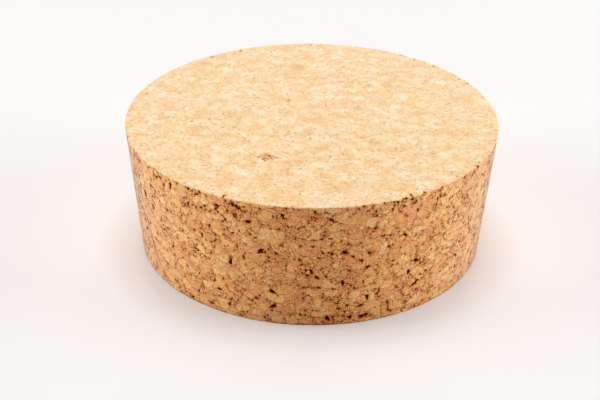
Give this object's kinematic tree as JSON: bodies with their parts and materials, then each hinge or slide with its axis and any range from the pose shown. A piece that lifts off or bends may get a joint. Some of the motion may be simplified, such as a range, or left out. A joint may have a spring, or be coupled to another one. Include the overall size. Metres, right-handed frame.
{
  "type": "cork stopper",
  "caption": "Thick tapered disc of agglomerated cork granules that plugs a wide round mouth, shown resting on its narrow face.",
  "frame": {"origin": "centre of the narrow lower face, which it rests on", "axes": "+Z along the axis of the taper, from the narrow face to the wide one; X and Y are across it"},
  "size_m": [0.105, 0.105, 0.038],
  "materials": {
    "cork": "matt, ground, open granules with small dark pits"
  },
  "bodies": {
    "root": {"stopper": "cork"}
  },
  "joints": []
}
